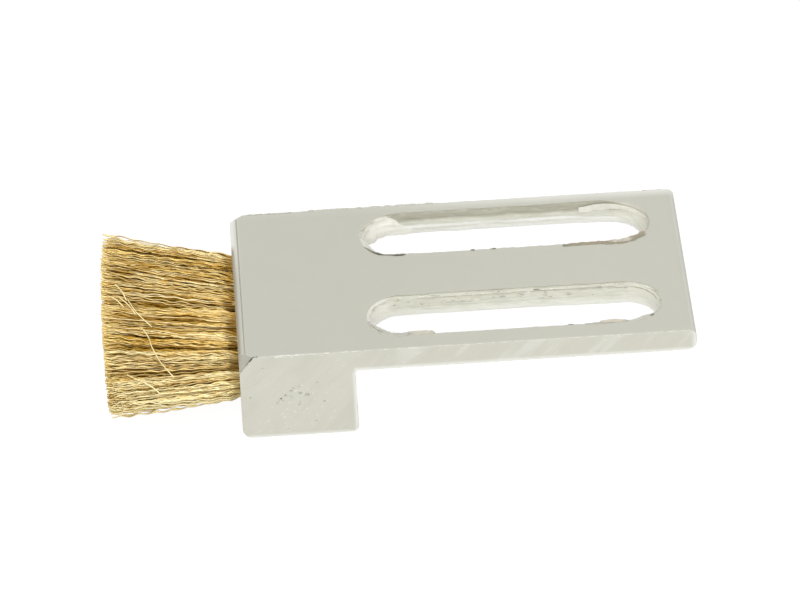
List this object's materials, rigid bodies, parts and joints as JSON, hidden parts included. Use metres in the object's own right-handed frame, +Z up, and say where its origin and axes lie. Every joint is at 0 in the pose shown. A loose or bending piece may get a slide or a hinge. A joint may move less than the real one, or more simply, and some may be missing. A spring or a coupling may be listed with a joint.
{
  "type": "cleaning brush",
  "caption": "Machine-mounted cleaning brush: a stepped plastic holder with long adjusting slots in its plate and a row of crimped brass wire tufts in its end face.",
  "frame": {"origin": "under the middle of the whole brush, on the surface that its block stands on", "axes": "+X from the wire tips to the holder's tail, +Y from the front side to the back side, +Z up from the block's foot to the plate's top face"},
  "size_m": [0.0783, 0.0382, 0.013],
  "materials": {
    "holder_plastic": "natural light grey-beige plastic, machined and sawn",
    "bristle_brass": "bright crimped brass wire",
    "anchor_steel": "plain drawn flat wire"
  },
  "bodies": {
    "root": {"holder": "holder_plastic", "tuft_1": "bristle_brass", "tuft_2": "bristle_brass", "tuft_3": "bristle_brass", "tuft_4": "bristle_brass", "tuft_5": "bristle_brass", "tuft_6": "bristle_brass", "tuft_7": "bristle_brass", "tuft_anchor_1": "anchor_steel", "tuft_anchor_2": "anchor_steel", "tuft_anchor_3": "anchor_steel", "tuft_anchor_4": "anchor_steel", "tuft_anchor_5": "anchor_steel", "tuft_anchor_6": "anchor_steel", "tuft_anchor_7": "anchor_steel"}
  },
  "joints": []
}
